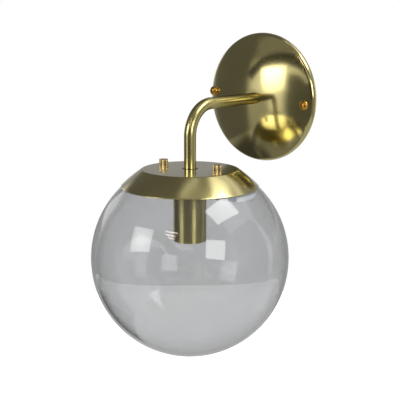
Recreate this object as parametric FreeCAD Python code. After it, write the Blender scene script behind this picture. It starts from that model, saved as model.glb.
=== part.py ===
import FreeCAD, Part
import math
import os

from FreeCAD import Vector

# Globe wall sconce, in millimetres.
# Origin: middle of the canopy's open back, on the wall. +Z is up, +Y goes into
# the wall, and the lamp hangs out along -Y.

# ---- driving dimensions ------------------------------------------------------

# spun wall canopy
canopy_d = 137.0
canopy_depth = 20.0
canopy_lip = 1.5
canopy_shoulder_r = 4.5
canopy_wall = 1.0
canopy_flat_d = 18.0
canopy_turn = -3.8

# arm
arm_d = 12.0
arm_wall = 1.0
arm_reach = 120.3
arm_bend_r = 31.2

# hollow threaded nipples at both ends of the arm, with their nuts and washers
nipple_bore_d = 7.0
nipple_grip = 12.0
nipple_tail = 1.6
nipple_nut_flats = 14.0
nipple_nut_t = 3.5
nipple_washer_d = 16.4
nipple_washer_t = 1.0
nipple_chamfer = 0.6
washer_teeth = 12
washer_notch_w = 1.2
washer_notch_depth = 1.2

# glass globe
globe_d = 200.0
globe_wall = 3.0
globe_opening_d = 100.0

# gallery, the spun cap on the globe
gallery_drop = 62.9
gallery_height = 17.8
gallery_flat_d = 94.8
gallery_rim_d = 136.9
gallery_shoulder_r = 2.2
gallery_flank_r = 146.0
gallery_wall = 0.8
gallery_hole_gap = 2.3

# clamp bar inside the globe, with its pads and studs
bar_turn = 6.5
bar_width = 16.0
bar_t = 2.0
bar_half_length = 62.0
bar_head_width = 26.0
bar_head_length = 8.0
pad_t = 3.9
pad_width = 34.0
pad_reach = 67.0
pad_inner = 55.0
pad_skin = 1.5
stud_d = 4.0
stud_radius = 32.5
stud_tail = 1.5
stud_hole_d = 5.0
stud_nut_flats = 7.0
stud_nut_t = 3.0

# knurled blind thumb nuts
thumb_nut_d = 9.2
thumb_nut_h = 6.8
thumb_nut_roof = 1.6
thumb_nut_chamfer = 0.5
knurl_count = 26
knurl_depth = 0.3

# wall bracket: strap with joggled ends and an upright lug
strap_width = 20.0
strap_t = 2.0
strap_end = 4.7
strap_tab_length = 14.0
strap_joggle = 2.0
strap_joggle_run = 3.0
strap_corner_r = 6.0
strap_cable_hole_d = 18.0
lug_top = 40.0
wall_hole_d = 5.0
wall_hole_pcd = 60.0

# screws that hold the canopy to the strap
cover_screw_d = 4.0
cover_screw_inset = 8.2
cover_screw_head_d = 10.0
cover_screw_head_h = 4.0
cover_screw_head_land = 1.2
cover_screw_tail = 1.0
cover_screw_hole_d = 4.8
cross_slot_w = 1.2
cross_slot_reach = 5.0
cross_slot_depth = 1.8

# terminal block on the lug
block_length = 24.6
block_height = 16.0
block_base_t = 7.0
block_tower_h = 3.2
block_tower_d = 5.8
block_pitch = 8.0
block_row = 4.2
block_bottom = 22.0
block_peg_d = 3.0
block_peg_gap = 0.05
block_entry_d = 3.0
block_entry_depth = 4.0
block_screw_d = 3.4
block_screw_h = 2.2

# plain slot in the small terminal screws
blade_slot_w = 0.6
blade_slot_depth = 0.8

# earth terminal on the strap
earth_screw_x = -19.5
earth_screw_d = 4.0
earth_head_d = 7.0
earth_head_h = 2.6
earth_head_land = 0.8
earth_slot_reach = 3.8
earth_slot_depth = 1.0
earth_ring_d = 8.0
earth_ring_t = 0.8
earth_tongue_w = 3.2
earth_tongue_length = 1.4
earth_barrel_d = 4.0
earth_barrel_length = 6.0
earth_barrel_floor = 1.0

# wiring that the lamp holds
lead_d = 5.0
lead_turn_r = 7.0
lead_stand_off = 5.0
lead_sheath_end = 12.0
core_d = 2.4
core_bend_r = 3.6
core_entry = 3.0
core_start_run = 3.0
core_end_run = 2.5
earth_start_run = 8.0
earth_end_run = 3.5

# lampholder and its metal cup
cup_d = 33.1
cup_wall = 0.8
cup_length = 49.8
cup_corner_r = 2.5
holder_d = 26.0
holder_neck_d = 15.0
holder_neck_h = 3.5
holder_dome_h = 4.0
holder_cap_h = 16.0
holder_cap_wall = 1.5
holder_roof_t = 3.0
holder_base_t = 5.0
holder_skirt_end = 3.0
holder_mouth_d = 17.0
holder_mouth_h = 2.0
shell_bore_d = 13.9
shell_wall = 0.4
shell_length = 21.5
contact_room = 2.6
contact_width = 4.0
contact_t = 0.4
contact_spring = 2.2
contact_heel = 5.3
contact_root = 3.2
contact_bend = 1.0
contact_tip = 3.2
terminal_d = 3.2
terminal_h = 2.4
terminal_radius = 7.5

# clearances
thread_gap = 0.05
glass_gap = 0.3
fit_gap = 0.05
hole_gap = 0.25

# ---- derived sizes and levels -----------------------------------------------

OUT = Vector(0, -1, 0)
UP = Vector(0, 0, 1)
DOWN = Vector(0, 0, -1)
RIGHT = Vector(1, 0, 0)

canopy_r = canopy_d / 2
cover_screw_radius = canopy_r - cover_screw_inset
strap_half_length = cover_screw_radius + strap_end
strap_tab_start = strap_half_length - strap_tab_length
strap_joggle_start = strap_tab_start - strap_joggle_run
arm_bore_d = arm_d - 2 * arm_wall
nipple_d = arm_bore_d - 2 * thread_gap
nipple_hole_d = nipple_d + 2 * hole_gap
globe_r = globe_d / 2
globe_bore_r = globe_r - globe_wall

gallery_top_z = -gallery_drop
gallery_rim_z = gallery_top_z - gallery_height
gallery_rim_r = gallery_rim_d / 2
gallery_hole_d = arm_d + 2 * gallery_hole_gap


def gallery_arcs():
    """Centres and angles of the gallery's inner outline: a small shoulder, then the flank."""
    shoulder = Vector(gallery_flat_d / 2, 0, gallery_top_z - gallery_wall - gallery_shoulder_r)
    rim = Vector(gallery_rim_r, 0, gallery_rim_z)
    reach = gallery_flank_r - gallery_shoulder_r
    gap = rim - shoulder
    along = (gallery_flank_r ** 2 - reach ** 2 - gap.Length ** 2) / (2 * reach)
    rim_bearing = math.atan2(gap.x, gap.z)
    meet = rim_bearing - math.acos(along / gap.Length)
    flank = shoulder - Vector(math.sin(meet), 0, math.cos(meet)) * reach
    rim_angle = math.atan2(rim.x - flank.x, rim.z - flank.z)
    return shoulder, flank, meet, rim_angle


def polar(centre, radius, angle):
    return centre + Vector(math.sin(angle), 0, math.cos(angle)) * radius


def globe_seat_z():
    """Height of the ball's centre when it first meets the gallery, at the rim or on the flank."""
    reach = globe_r + glass_gap
    rim_seat = gallery_rim_z - math.sqrt(reach ** 2 - gallery_rim_r ** 2)
    shoulder, flank, meet, rim_angle = gallery_arcs()
    inset = gallery_flank_r - reach
    if inset <= abs(flank.x):
        return rim_seat
    flank_seat = flank.z + math.sqrt(inset ** 2 - flank.x ** 2)
    bearing = math.atan2(-flank.x, flank_seat - flank.z)
    return rim_seat if bearing > rim_angle else flank_seat


globe_z = globe_seat_z()
bar_top_z = globe_z + math.sqrt((globe_bore_r - pad_t) ** 2 - bar_half_length ** 2)
bar_bottom_z = bar_top_z - bar_t
arm_end_z = bar_top_z

cup_top_z = bar_bottom_z
cup_bottom_z = cup_top_z - cup_length
cup_washer_z = cup_top_z - cup_wall
cup_nut_z = cup_washer_z - nipple_washer_t
holder_top_z = cup_nut_z - nipple_nut_t
holder_joint_z = holder_top_z - holder_cap_h
holder_bottom_z = cup_bottom_z + holder_skirt_end
holder_base_z = holder_joint_z + holder_base_t
shell_top_z = holder_joint_z - contact_room
shell_bottom_z = shell_top_z - shell_length

block_middle_z = block_bottom + block_height / 2
strap_tab_depth = strap_joggle + strap_t


# ---- shared shapes ----------------------------------------------------------

def rod(diameter, length, base, axis=UP):
    return Part.makeCylinder(diameter / 2, length, base, axis)


def ring(outer_d, inner_d, length, base, axis=UP):
    return rod(outer_d, length, base, axis).cut(rod(inner_d, length, base, axis))


def line(start, end):
    return Part.makeLine(start, end)


def arc(start, middle, end):
    return Part.Arc(start, middle, end).toShape()


def revolved(edges, axis):
    """Solid of revolution of a closed outline about an axis through the origin."""
    face = Part.Face(Part.Wire(Part.__sortEdges__(edges)))
    return face.revolve(Vector(0, 0, 0), axis, 360)


def polygon_prism(points, direction):
    wire = Part.makePolygon(points + [points[0]])
    return Part.Face(wire).extrude(direction)


def hex_nut(flats, thickness, bore_d, base, axis=UP):
    """Hexagon nut with both faces chamfered, its thread drawn at full diameter."""
    corner_r = flats / math.sqrt(3)
    points = []
    for side in range(6):
        turn = math.radians(60 * side)
        points.append(Vector(corner_r * math.cos(turn), corner_r * math.sin(turn), 0))
    body = polygon_prism(points, UP * thickness)
    drop = corner_r - flats / 2
    waist = Part.makeCylinder(corner_r, thickness - 2 * drop, UP * drop)
    foot = Part.makeCone(flats / 2, corner_r, drop)
    roof = Part.makeCone(corner_r, flats / 2, drop, UP * (thickness - drop))
    body = body.common(waist.fuse([foot, roof]))
    body = body.cut(rod(bore_d, thickness, Vector(0, 0, 0)))
    body.Placement = FreeCAD.Placement(base, FreeCAD.Rotation(UP, axis))
    return body


def swept_rod(diameter, points, bends):
    """Round rod along straight runs joined by tangent arcs, one bend radius per corner."""
    edges = []
    start = points[0]
    for corner, following, radius in zip(points[1:-1], points[2:], bends):
        before = (start - corner).normalize()
        after = (following - corner).normalize()
        half = before.getAngle(after) / 2
        reach = radius / math.tan(half)
        first = corner + before * reach
        last = corner + after * reach
        centre = corner + (before + after).normalize() * (radius / math.sin(half))
        middle = centre + (corner - centre).normalize() * radius
        edges.append(line(start, first))
        edges.append(arc(first, middle, last))
        start = last
    edges.append(line(start, points[-1]))
    heading = (points[1] - points[0]).normalize()
    section = Part.Wire([Part.makeCircle(diameter / 2, points[0], heading)])
    return Part.Wire(edges).makePipeShell([section], True, False)


def on_lamp_axis(shape):
    """Moves a shape that was drawn about the origin's Z axis out to the hanging axis."""
    return shape.translated(Vector(0, -arm_reach, 0))


def turned_with_bar(shape):
    """Turns a shape about the Z axis to the line of the clamp bar."""
    return shape.rotated(Vector(0, 0, 0), UP, bar_turn)


def turned_with_canopy(shape):
    """Turns a shape about the canopy's axis to the line of its two screws."""
    return shape.rotated(Vector(0, 0, 0), OUT, canopy_turn)


def canopy_point(x, depth, z):
    """Point given by its place on the level canopy, turned with the canopy."""
    turn = FreeCAD.Rotation(OUT, canopy_turn)
    return turn.multVec(Vector(x, -depth, z))


def save(name, *solids):
    shape = solids[0] if len(solids) == 1 else Part.makeCompound(list(solids))
    shape.exportStep("parts/" + name + ".step")


# ---- canopy and wall bracket ------------------------------------------------

dome_rise = canopy_depth - canopy_lip
shoulder_x = canopy_r - canopy_shoulder_r
dome_r = (shoulder_x ** 2 + dome_rise ** 2 - canopy_shoulder_r ** 2) / (2 * (dome_rise - canopy_shoulder_r))
dome_centre = canopy_depth - dome_r
dome_edge_angle = math.atan2(shoulder_x, dome_r - dome_rise)
canopy_flat_depth = dome_centre + math.sqrt(dome_r ** 2 - (canopy_flat_d / 2) ** 2)


def dome_depth(radius):
    """Distance from the wall to the dome's outer face at a radius from its middle."""
    return dome_centre + math.sqrt(dome_r ** 2 - radius ** 2)


def dome_point(radius, angle, offset):
    """Point on the dome's arc, offset inwards, in the plane of the outline."""
    reach = dome_r - offset
    return Vector(reach * math.sin(angle), -(dome_centre + reach * math.cos(angle)), 0)


def shoulder_point(angle, offset):
    reach = canopy_shoulder_r - offset
    return Vector(shoulder_x + reach * math.sin(angle), -(canopy_lip + reach * math.cos(angle)), 0)


def canopy_skin(offset, flat_depth):
    """Edges from the middle flat out to the open back, offset inwards from the outer face."""
    reach = dome_r - offset
    flat_angle = math.acos((flat_depth - dome_centre) / reach)
    flat_edge = dome_point(reach, flat_angle, offset)
    dome_middle = dome_point(reach, (flat_angle + dome_edge_angle) / 2, offset)
    dome_end = shoulder_point(dome_edge_angle, offset)
    shoulder_middle = shoulder_point((dome_edge_angle + math.pi / 2) / 2, offset)
    lip_top = Vector(canopy_r - offset, -canopy_lip, 0)
    lip_foot = Vector(canopy_r - offset, 0, 0)
    hole_edge = Vector(nipple_hole_d / 2, -flat_depth, 0)
    edges = [
        line(hole_edge, flat_edge),
        arc(flat_edge, dome_middle, dome_end),
        arc(dome_end, shoulder_middle, lip_top),
        line(lip_top, lip_foot),
    ]
    return edges, hole_edge, lip_foot


def canopy():
    """Shallow spun dome with a rounded shoulder, open at the wall."""
    outer, outer_hole, outer_foot = canopy_skin(0, canopy_flat_depth)
    inner, inner_hole, inner_foot = canopy_skin(canopy_wall, canopy_flat_depth - canopy_wall)
    edges = outer + inner + [line(outer_hole, inner_hole), line(outer_foot, inner_foot)]
    shell = revolved(edges, Vector(0, 1, 0))
    for side in (-1, 1):
        hole = rod(cover_screw_hole_d, canopy_depth, Vector(side * cover_screw_radius, 0, 0), OUT)
        shell = shell.cut(hole)
    return turned_with_canopy(shell)


def strap_plate():
    """Strap bent out at both ends so that the screw tails stay clear of the wall."""
    half = [
        (0, 0),
        (strap_joggle_start, 0),
        (strap_tab_start, strap_joggle),
        (strap_half_length, strap_joggle),
        (strap_half_length, strap_tab_depth),
        (strap_tab_start, strap_tab_depth),
        (strap_joggle_start, strap_t),
        (0, strap_t),
    ]
    points = [Vector(x, -depth, -strap_width / 2) for x, depth in half]
    right = polygon_prism(points, UP * strap_width)
    left = right.mirror(Vector(0, 0, 0), RIGHT)
    outline = Part.makeBox(2 * strap_half_length, strap_tab_depth, strap_width,
                           Vector(-strap_half_length, -strap_tab_depth, -strap_width / 2))
    corners = [edge for edge in outline.Edges if edge.BoundBox.YLength > strap_t]
    outline = outline.makeFillet(strap_corner_r, corners)
    return right.fuse(left).removeSplitter().common(outline)


def bracket_lug():
    """Upright tongue with a rounded end, which carries the terminal block."""
    straight = lug_top - strap_width / 2
    tongue = Part.makeBox(strap_width, strap_t, straight, Vector(-strap_width / 2, -strap_t, 0))
    return tongue.fuse(rod(strap_width, strap_t, Vector(0, 0, straight), OUT))


def wall_bracket():
    plate = strap_plate().fuse(bracket_lug()).removeSplitter()
    cutters = [rod(strap_cable_hole_d, strap_t, Vector(0, 0, 0), OUT)]
    for side in (-1, 1):
        cutters.append(rod(wall_hole_d, strap_t, Vector(side * wall_hole_pcd / 2, 0, 0), OUT))
        tapped = cover_screw_d + 2 * thread_gap
        cutters.append(rod(tapped, strap_tab_depth, Vector(side * cover_screw_radius, 0, 0), OUT))
    cutters.append(rod(earth_screw_d + 2 * thread_gap, strap_t, Vector(earth_screw_x, 0, 0), OUT))
    cutters.append(rod(block_peg_d + 2 * block_peg_gap, strap_t, Vector(0, 0, block_middle_z), OUT))
    return turned_with_canopy(plate.cut(cutters))


def domed_head(diameter, height, land, base):
    """Round head with an upright land and an arched top, standing outwards from its seat."""
    radius = diameter / 2
    rise = height - land
    crown_r = (radius ** 2 + rise ** 2) / (2 * rise)
    crown = Part.makeSphere(crown_r, Vector(0, -(height - crown_r), 0))
    blank = rod(diameter, height, Vector(0, 0, 0), OUT)
    return blank.common(crown).translated(base)


def cross_slot(centre, face_depth, reach, depth):
    slots = []
    for along_x, along_z in ((reach, cross_slot_w), (cross_slot_w, reach)):
        corner = Vector(centre.x - along_x / 2, -face_depth, centre.z - along_z / 2)
        slots.append(Part.makeBox(along_x, depth, along_z, corner))
    return slots[0].fuse(slots[1])


def canopy_screws():
    """Domed cross-slot screws through the canopy into the strap's ends."""
    seat_depth = dome_depth(cover_screw_radius - cover_screw_head_d / 2) + fit_gap
    screws = []
    for side in (-1, 1):
        axis_point = Vector(side * cover_screw_radius, 0, 0)
        seat = axis_point + OUT * seat_depth
        head = domed_head(cover_screw_head_d, cover_screw_head_h, cover_screw_head_land, seat)
        face_depth = seat_depth + cover_screw_head_h
        slot = cross_slot(axis_point, face_depth, cross_slot_reach, cross_slot_depth)
        shank_length = seat_depth - cover_screw_tail
        shank = rod(cover_screw_d, shank_length, axis_point + OUT * cover_screw_tail, OUT)
        screws.append(turned_with_canopy(head.cut(slot).fuse(shank)))
    return screws


# ---- terminal block, earth terminal and wiring ------------------------------

def block_poles():
    return [-block_pitch, 0, block_pitch]


def terminal_block():
    """Three-pole connector strip with a screw tower over each wire entry."""
    base = Part.makeBox(block_length, block_base_t, block_height,
                        Vector(-block_length / 2, -strap_t - block_base_t, block_bottom))
    body = [base]
    cutters = []
    for x in block_poles():
        for side in (-1, 1):
            foot = Vector(x, -strap_t - block_base_t, block_middle_z + side * block_row)
            body.append(rod(block_tower_d, block_tower_h, foot, OUT))
            top = foot + OUT * block_tower_h
            cutters.append(rod(block_screw_d + 2 * fit_gap, block_tower_h, top, -OUT))
        for face_z, inwards in ((block_bottom, UP), (block_bottom + block_height, DOWN)):
            mouth = Vector(x, -lead_stand_off, face_z)
            cutters.append(rod(block_entry_d, block_entry_depth, mouth, inwards))
    peg = rod(block_peg_d, strap_t, Vector(0, 0, block_middle_z), OUT)
    body.append(peg)
    block = body[0].fuse(body[1:]).cut(cutters)
    return turned_with_canopy(block)


def block_screws():
    screws = []
    for x in block_poles():
        for side in (-1, 1):
            foot = Vector(x, -strap_t - block_base_t, block_middle_z + side * block_row)
            body = rod(block_screw_d, block_screw_h, foot, OUT)
            corner = foot + OUT * block_screw_h - Vector(block_screw_d / 2, 0, blade_slot_w / 2)
            slot = Part.makeBox(block_screw_d, blade_slot_depth, blade_slot_w, corner)
            screws.append(turned_with_canopy(body.cut(slot)))
    return screws


def earth_screw():
    seat = Vector(earth_screw_x, -strap_t - earth_ring_t, 0)
    head = domed_head(earth_head_d, earth_head_h, earth_head_land, seat)
    face_depth = strap_t + earth_ring_t + earth_head_h
    slot = cross_slot(seat, face_depth, earth_slot_reach, earth_slot_depth)
    shank_length = strap_t + earth_ring_t - fit_gap
    shank = rod(earth_screw_d, shank_length, Vector(earth_screw_x, -fit_gap, 0), OUT)
    return turned_with_canopy(head.cut(slot).fuse(shank))


earth_barrel = Vector(earth_screw_x, -strap_t - earth_barrel_d / 2, earth_ring_d / 2 + earth_tongue_length)


def earth_lug():
    """Crimp ring under the earth screw, with its barrel pointing up."""
    eye = ring(earth_ring_d, earth_screw_d + 2 * fit_gap, earth_ring_t,
               Vector(earth_screw_x, -strap_t, 0), OUT)
    tongue_foot_z = (earth_ring_d / 2 + earth_screw_d / 2 + fit_gap) / 2
    corner = Vector(earth_screw_x - earth_tongue_w / 2, -strap_t - earth_ring_t, tongue_foot_z)
    tongue = Part.makeBox(earth_tongue_w, earth_ring_t, earth_barrel.z - tongue_foot_z, corner)
    barrel = rod(earth_barrel_d, earth_barrel_length, earth_barrel)
    socket_d = core_d + 2 * fit_gap
    socket = rod(socket_d, earth_barrel_length, earth_barrel + UP * earth_barrel_floor)
    return turned_with_canopy(eye.fuse([tongue, barrel]).cut(socket))


def earth_wire():
    """Earth core from the crimp barrel up to the terminal block's first pole."""
    start = earth_barrel + UP * earth_barrel_floor
    pole_x = block_poles()[0]
    points = [
        start,
        start + UP * earth_start_run,
        Vector(pole_x, -lead_stand_off, block_bottom - earth_end_run),
        Vector(pole_x, -lead_stand_off, block_bottom + core_entry),
    ]
    return turned_with_canopy(swept_rod(core_d, points, [core_bend_r, core_bend_r]))


def lamp_lead():
    """Sheathed twin lead from the lampholder, through the arm, into the canopy."""
    points = [
        Vector(0, -arm_reach, holder_base_z),
        Vector(0, -arm_reach, 0),
        Vector(0, -lead_stand_off, 0),
        Vector(0, -lead_stand_off, lead_sheath_end),
    ]
    return swept_rod(lead_d, points, [arm_bend_r, lead_turn_r])


def lead_core(pole_x, side):
    """One insulated core from the end of the sheath to its pole."""
    start = Vector(side * core_d / 2, -lead_stand_off, lead_sheath_end)
    points = [
        start,
        start + UP * core_start_run,
        canopy_point(pole_x, lead_stand_off, block_bottom - core_end_run),
        canopy_point(pole_x, lead_stand_off, block_bottom + core_entry),
    ]
    return swept_rod(core_d, points, [core_bend_r, core_bend_r])


# ---- arm --------------------------------------------------------------------

def arm_tube():
    """Round tube, bent once through a right angle from the wall down to the globe."""
    route = [Vector(0, -canopy_flat_depth, 0), Vector(0, -arm_reach, 0), Vector(0, -arm_reach, arm_end_z)]
    outer = swept_rod(arm_d, route, [arm_bend_r])
    inner = swept_rod(arm_bore_d, route, [arm_bend_r])
    return outer.cut(inner)


def nipple(start, length, axis):
    """Hollow threaded tube with chamfered ends, its thread drawn at full diameter."""
    chamfer = nipple_chamfer
    radius = nipple_d / 2
    body = rod(nipple_d, length - 2 * chamfer, UP * chamfer)
    foot = Part.makeCone(radius - chamfer, radius, chamfer)
    roof = Part.makeCone(radius, radius - chamfer, chamfer, UP * (length - chamfer))
    body = body.fuse([foot, roof]).cut(rod(nipple_bore_d, length, Vector(0, 0, 0)))
    body.Placement = FreeCAD.Placement(start, FreeCAD.Rotation(UP, axis))
    return body


def tooth_washer(base, axis):
    """Flat washer with radial notches round its edge."""
    disc = ring(nipple_washer_d, nipple_hole_d, nipple_washer_t, Vector(0, 0, 0))
    corner = Vector(nipple_washer_d / 2 - washer_notch_depth, -washer_notch_w / 2, 0)
    notch = Part.makeBox(nipple_washer_d, washer_notch_w, nipple_washer_t, corner)
    notches = []
    for tooth in range(washer_teeth):
        notches.append(notch.rotated(Vector(0, 0, 0), UP, 360 / washer_teeth * tooth))
    disc = disc.cut(notches)
    disc.Placement = FreeCAD.Placement(base, FreeCAD.Rotation(UP, axis))
    return disc


wall_washer_y = -(canopy_flat_depth - canopy_wall)
wall_nut_y = wall_washer_y + nipple_washer_t
wall_nipple_y = wall_nut_y + nipple_nut_t + nipple_tail


def wall_nipple():
    length = wall_nipple_y + canopy_flat_depth + nipple_grip
    return nipple(Vector(0, wall_nipple_y, 0), length, OUT)


def wall_washer():
    return tooth_washer(Vector(0, wall_washer_y, 0), -OUT)


def wall_nut():
    return hex_nut(nipple_nut_flats, nipple_nut_t, arm_bore_d, Vector(0, wall_nut_y, 0), -OUT)


# ---- gallery, globe and clamp -----------------------------------------------

def gallery():
    """Spun cap: flat top, flared flank and a half-round rim over the glass."""
    shoulder, flank, meet, rim_angle = gallery_arcs()
    edges = []
    tops = []
    rims = []
    for offset in (0, gallery_wall):
        small = gallery_shoulder_r + offset
        large = gallery_flank_r + offset
        flat_edge = shoulder + UP * small
        join = polar(shoulder, small, meet)
        rim = polar(flank, large, rim_angle)
        hole_edge = Vector(gallery_hole_d / 2, 0, flat_edge.z)
        edges.append(line(hole_edge, flat_edge))
        edges.append(arc(flat_edge, polar(shoulder, small, meet / 2), join))
        edges.append(arc(join, polar(flank, large, (meet + rim_angle) / 2), rim))
        tops.append(hole_edge)
        rims.append(rim)
    edges.append(line(tops[0], tops[1]))
    middle = (rims[0] + rims[1]) * 0.5
    down_flank = Vector(math.cos(rim_angle), 0, -math.sin(rim_angle))
    edges.append(arc(rims[0], middle + down_flank * (gallery_wall / 2), rims[1]))
    cap = revolved(edges, UP)
    for side in (-1, 1):
        foot = Vector(side * stud_radius, 0, gallery_top_z - gallery_wall)
        cap = cap.cut(turned_with_bar(rod(stud_hole_d, gallery_wall, foot)))
    return on_lamp_axis(cap)


def globe():
    """Blown glass ball with one opening, its edge melted round."""
    centre = Vector(0, 0, globe_z)
    middle_r = globe_r - globe_wall / 2
    lip_r = globe_wall / 2
    mouth = math.asin((globe_opening_d / 2 + lip_r) / middle_r)
    bottom = math.pi
    lip_top = polar(centre, middle_r, mouth) + Vector(-math.cos(mouth), 0, math.sin(mouth)) * lip_r
    edges = [
        arc(polar(centre, globe_r, mouth), polar(centre, globe_r, (mouth + bottom) / 2),
            centre + DOWN * globe_r),
        line(centre + DOWN * globe_r, centre + DOWN * globe_bore_r),
        arc(centre + DOWN * globe_bore_r, polar(centre, globe_bore_r, (mouth + bottom) / 2),
            polar(centre, globe_bore_r, mouth)),
        arc(polar(centre, globe_bore_r, mouth), lip_top, polar(centre, globe_r, mouth)),
    ]
    return on_lamp_axis(revolved(edges, UP))


def clamp_bar():
    """Flat bar with wide round-ended heads that reach under the glass."""
    length = 2 * bar_half_length
    strip = Part.makeBox(length, bar_width, bar_t, Vector(-bar_half_length, -bar_width / 2, bar_bottom_z))
    pieces = [strip]
    for side in (-1, 1):
        middle = side * (bar_half_length - bar_head_length / 2)
        corner = Vector(middle - bar_head_length / 2, -bar_head_width / 2, bar_bottom_z)
        pieces.append(Part.makeBox(bar_head_length, bar_head_width, bar_t, corner))
    bar = pieces[0].fuse(pieces[1:]).removeSplitter()
    bar = bar.common(rod(length, bar_t, UP * bar_bottom_z))
    cutters = [rod(nipple_hole_d, bar_t, UP * bar_bottom_z)]
    for side in (-1, 1):
        foot = Vector(side * stud_radius, 0, bar_bottom_z)
        cutters.append(rod(stud_d + 2 * thread_gap, bar_t, foot))
    return on_lamp_axis(turned_with_bar(bar.cut(cutters)))


def bar_pads():
    """Soft wedge caps on the bar's heads, shaped to the inside of the glass."""
    pads = []
    floor_z = bar_bottom_z - pad_skin
    seat = Part.makeSphere(globe_bore_r - glass_gap, UP * globe_z)
    tall = globe_z + globe_bore_r - floor_z
    bar = clamp_bar()
    for side in (-1, 1):
        length = pad_reach - pad_inner
        corner = Vector(pad_inner if side > 0 else -pad_reach, -pad_width / 2, floor_z)
        blank = Part.makeBox(length, pad_width, tall, corner)
        blank = blank.common(rod(2 * pad_reach, tall, UP * floor_z)).common(seat)
        pads.append(on_lamp_axis(turned_with_bar(blank)).cut(bar))
    return pads


def bar_studs():
    """Threaded studs from the bar up through the gallery into the thumb nuts."""
    foot_z = bar_bottom_z - stud_nut_t - stud_tail
    top_z = gallery_top_z + thumb_nut_h - thumb_nut_roof - glass_gap
    studs = []
    for side in (-1, 1):
        stud = rod(stud_d, top_z - foot_z, Vector(side * stud_radius, 0, foot_z))
        studs.append(on_lamp_axis(turned_with_bar(stud)))
    return studs


def stud_nuts():
    """Hexagon nuts above and below the bar on both studs."""
    nuts = []
    for side in (-1, 1):
        for foot_z in (bar_top_z, bar_bottom_z - stud_nut_t):
            base = Vector(side * stud_radius, 0, foot_z)
            nut = hex_nut(stud_nut_flats, stud_nut_t, stud_d + 2 * thread_gap, base)
            nuts.append(on_lamp_axis(turned_with_bar(nut)))
    return nuts


def thumb_nut(side):
    """Blind nut with a straight knurl, seated on the gallery's flat top."""
    crest_r = thumb_nut_d / 2
    root_r = crest_r - knurl_depth
    points = []
    for step in range(2 * knurl_count):
        radius = crest_r if step % 2 == 0 else root_r
        turn = math.pi * step / knurl_count
        points.append(Vector(radius * math.cos(turn), radius * math.sin(turn), 0))
    blank = polygon_prism(points, UP * thumb_nut_h)
    straight = thumb_nut_h - thumb_nut_chamfer
    roof = Part.makeCone(crest_r, crest_r - thumb_nut_chamfer, thumb_nut_chamfer, UP * straight)
    blank = blank.common(rod(thumb_nut_d, straight, Vector(0, 0, 0)).fuse(roof))
    blank = blank.cut(rod(stud_d + 2 * thread_gap, thumb_nut_h - thumb_nut_roof, Vector(0, 0, 0)))
    seated = blank.translated(Vector(side * stud_radius, 0, gallery_top_z))
    return on_lamp_axis(turned_with_bar(seated))


# ---- lampholder -------------------------------------------------------------

def lampholder_nipple():
    top_z = arm_end_z + nipple_grip
    bottom_z = holder_top_z - holder_neck_h - nipple_tail
    return on_lamp_axis(nipple(UP * top_z, top_z - bottom_z, DOWN))


def lampholder_cup():
    """Straight metal cup with a rounded top corner, open below."""
    radius = cup_d / 2
    corner = Vector(radius - cup_corner_r, 0, cup_top_z - cup_corner_r)
    edges = []
    holes = []
    feet = []
    for offset in (0, cup_wall):
        bend = cup_corner_r - offset
        hole_edge = Vector(nipple_hole_d / 2, 0, cup_top_z - offset)
        foot = Vector(radius - offset, 0, cup_bottom_z)
        edges.append(line(hole_edge, corner + UP * bend))
        edges.append(arc(corner + UP * bend, polar(corner, bend, math.pi / 4), corner + RIGHT * bend))
        edges.append(line(corner + RIGHT * bend, foot))
        holes.append(hole_edge)
        feet.append(foot)
    edges.append(line(holes[0], holes[1]))
    edges.append(line(feet[0], feet[1]))
    return on_lamp_axis(revolved(edges, UP))


def cup_washer():
    return on_lamp_axis(tooth_washer(UP * cup_washer_z, DOWN))


def cup_nut():
    return on_lamp_axis(hex_nut(nipple_nut_flats, nipple_nut_t, arm_bore_d, UP * cup_nut_z, DOWN))


def lampholder_cap():
    """Domed upper half of the lampholder, screwed on to the nipple."""
    neck_z = holder_top_z - holder_neck_h
    dome_z = neck_z - holder_dome_h
    neck = rod(holder_neck_d, holder_neck_h, UP * neck_z)
    dome = Part.makeCone(holder_d / 2, holder_neck_d / 2, holder_dome_h, UP * dome_z)
    wall = rod(holder_d, dome_z - holder_joint_z, UP * holder_joint_z)
    cavity_d = holder_d - 2 * holder_cap_wall
    cavity_top_z = dome_z + holder_dome_h - holder_roof_t
    cavity = rod(cavity_d, dome_z - holder_joint_z, UP * holder_joint_z)
    vault = Part.makeCone(cavity_d / 2, holder_neck_d / 2, cavity_top_z - dome_z, UP * dome_z)
    entry = rod(nipple_d + 2 * thread_gap, holder_top_z - cavity_top_z, UP * cavity_top_z)
    return on_lamp_axis(neck.fuse([dome, wall]).cut([cavity, vault, entry]))


def lampholder_base():
    """Insulating disc that carries the centre contact and the terminals."""
    disc_d = holder_d - 2 * holder_cap_wall - 2 * fit_gap
    disc = rod(disc_d, holder_base_t, UP * holder_joint_z)
    return on_lamp_axis(disc)


def lampholder_terminals():
    """Two slotted terminal screws on top of the insulating disc."""
    screws = []
    for side in (-1, 1):
        foot = Vector(side * terminal_radius, 0, holder_base_z)
        screw = rod(terminal_d, terminal_h, foot)
        corner = foot + UP * (terminal_h - blade_slot_depth) - Vector(terminal_d / 2, blade_slot_w / 2, 0)
        slot = Part.makeBox(terminal_d, blade_slot_w, blade_slot_depth, corner)
        screws.append(on_lamp_axis(screw.cut(slot)))
    return screws


def lampholder_skirt():
    """Lower half of the lampholder round the threaded shell, flared at its mouth."""
    length = holder_joint_z - holder_bottom_z
    shell_d = shell_bore_d + 2 * shell_wall
    body = rod(holder_d, length, UP * holder_bottom_z)
    bore = rod(shell_d + 2 * fit_gap, length, UP * holder_bottom_z)
    mouth = Part.makeCone(holder_mouth_d / 2, shell_d / 2, holder_mouth_h, UP * holder_bottom_z)
    return on_lamp_axis(body.cut([bore, mouth]))


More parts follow.
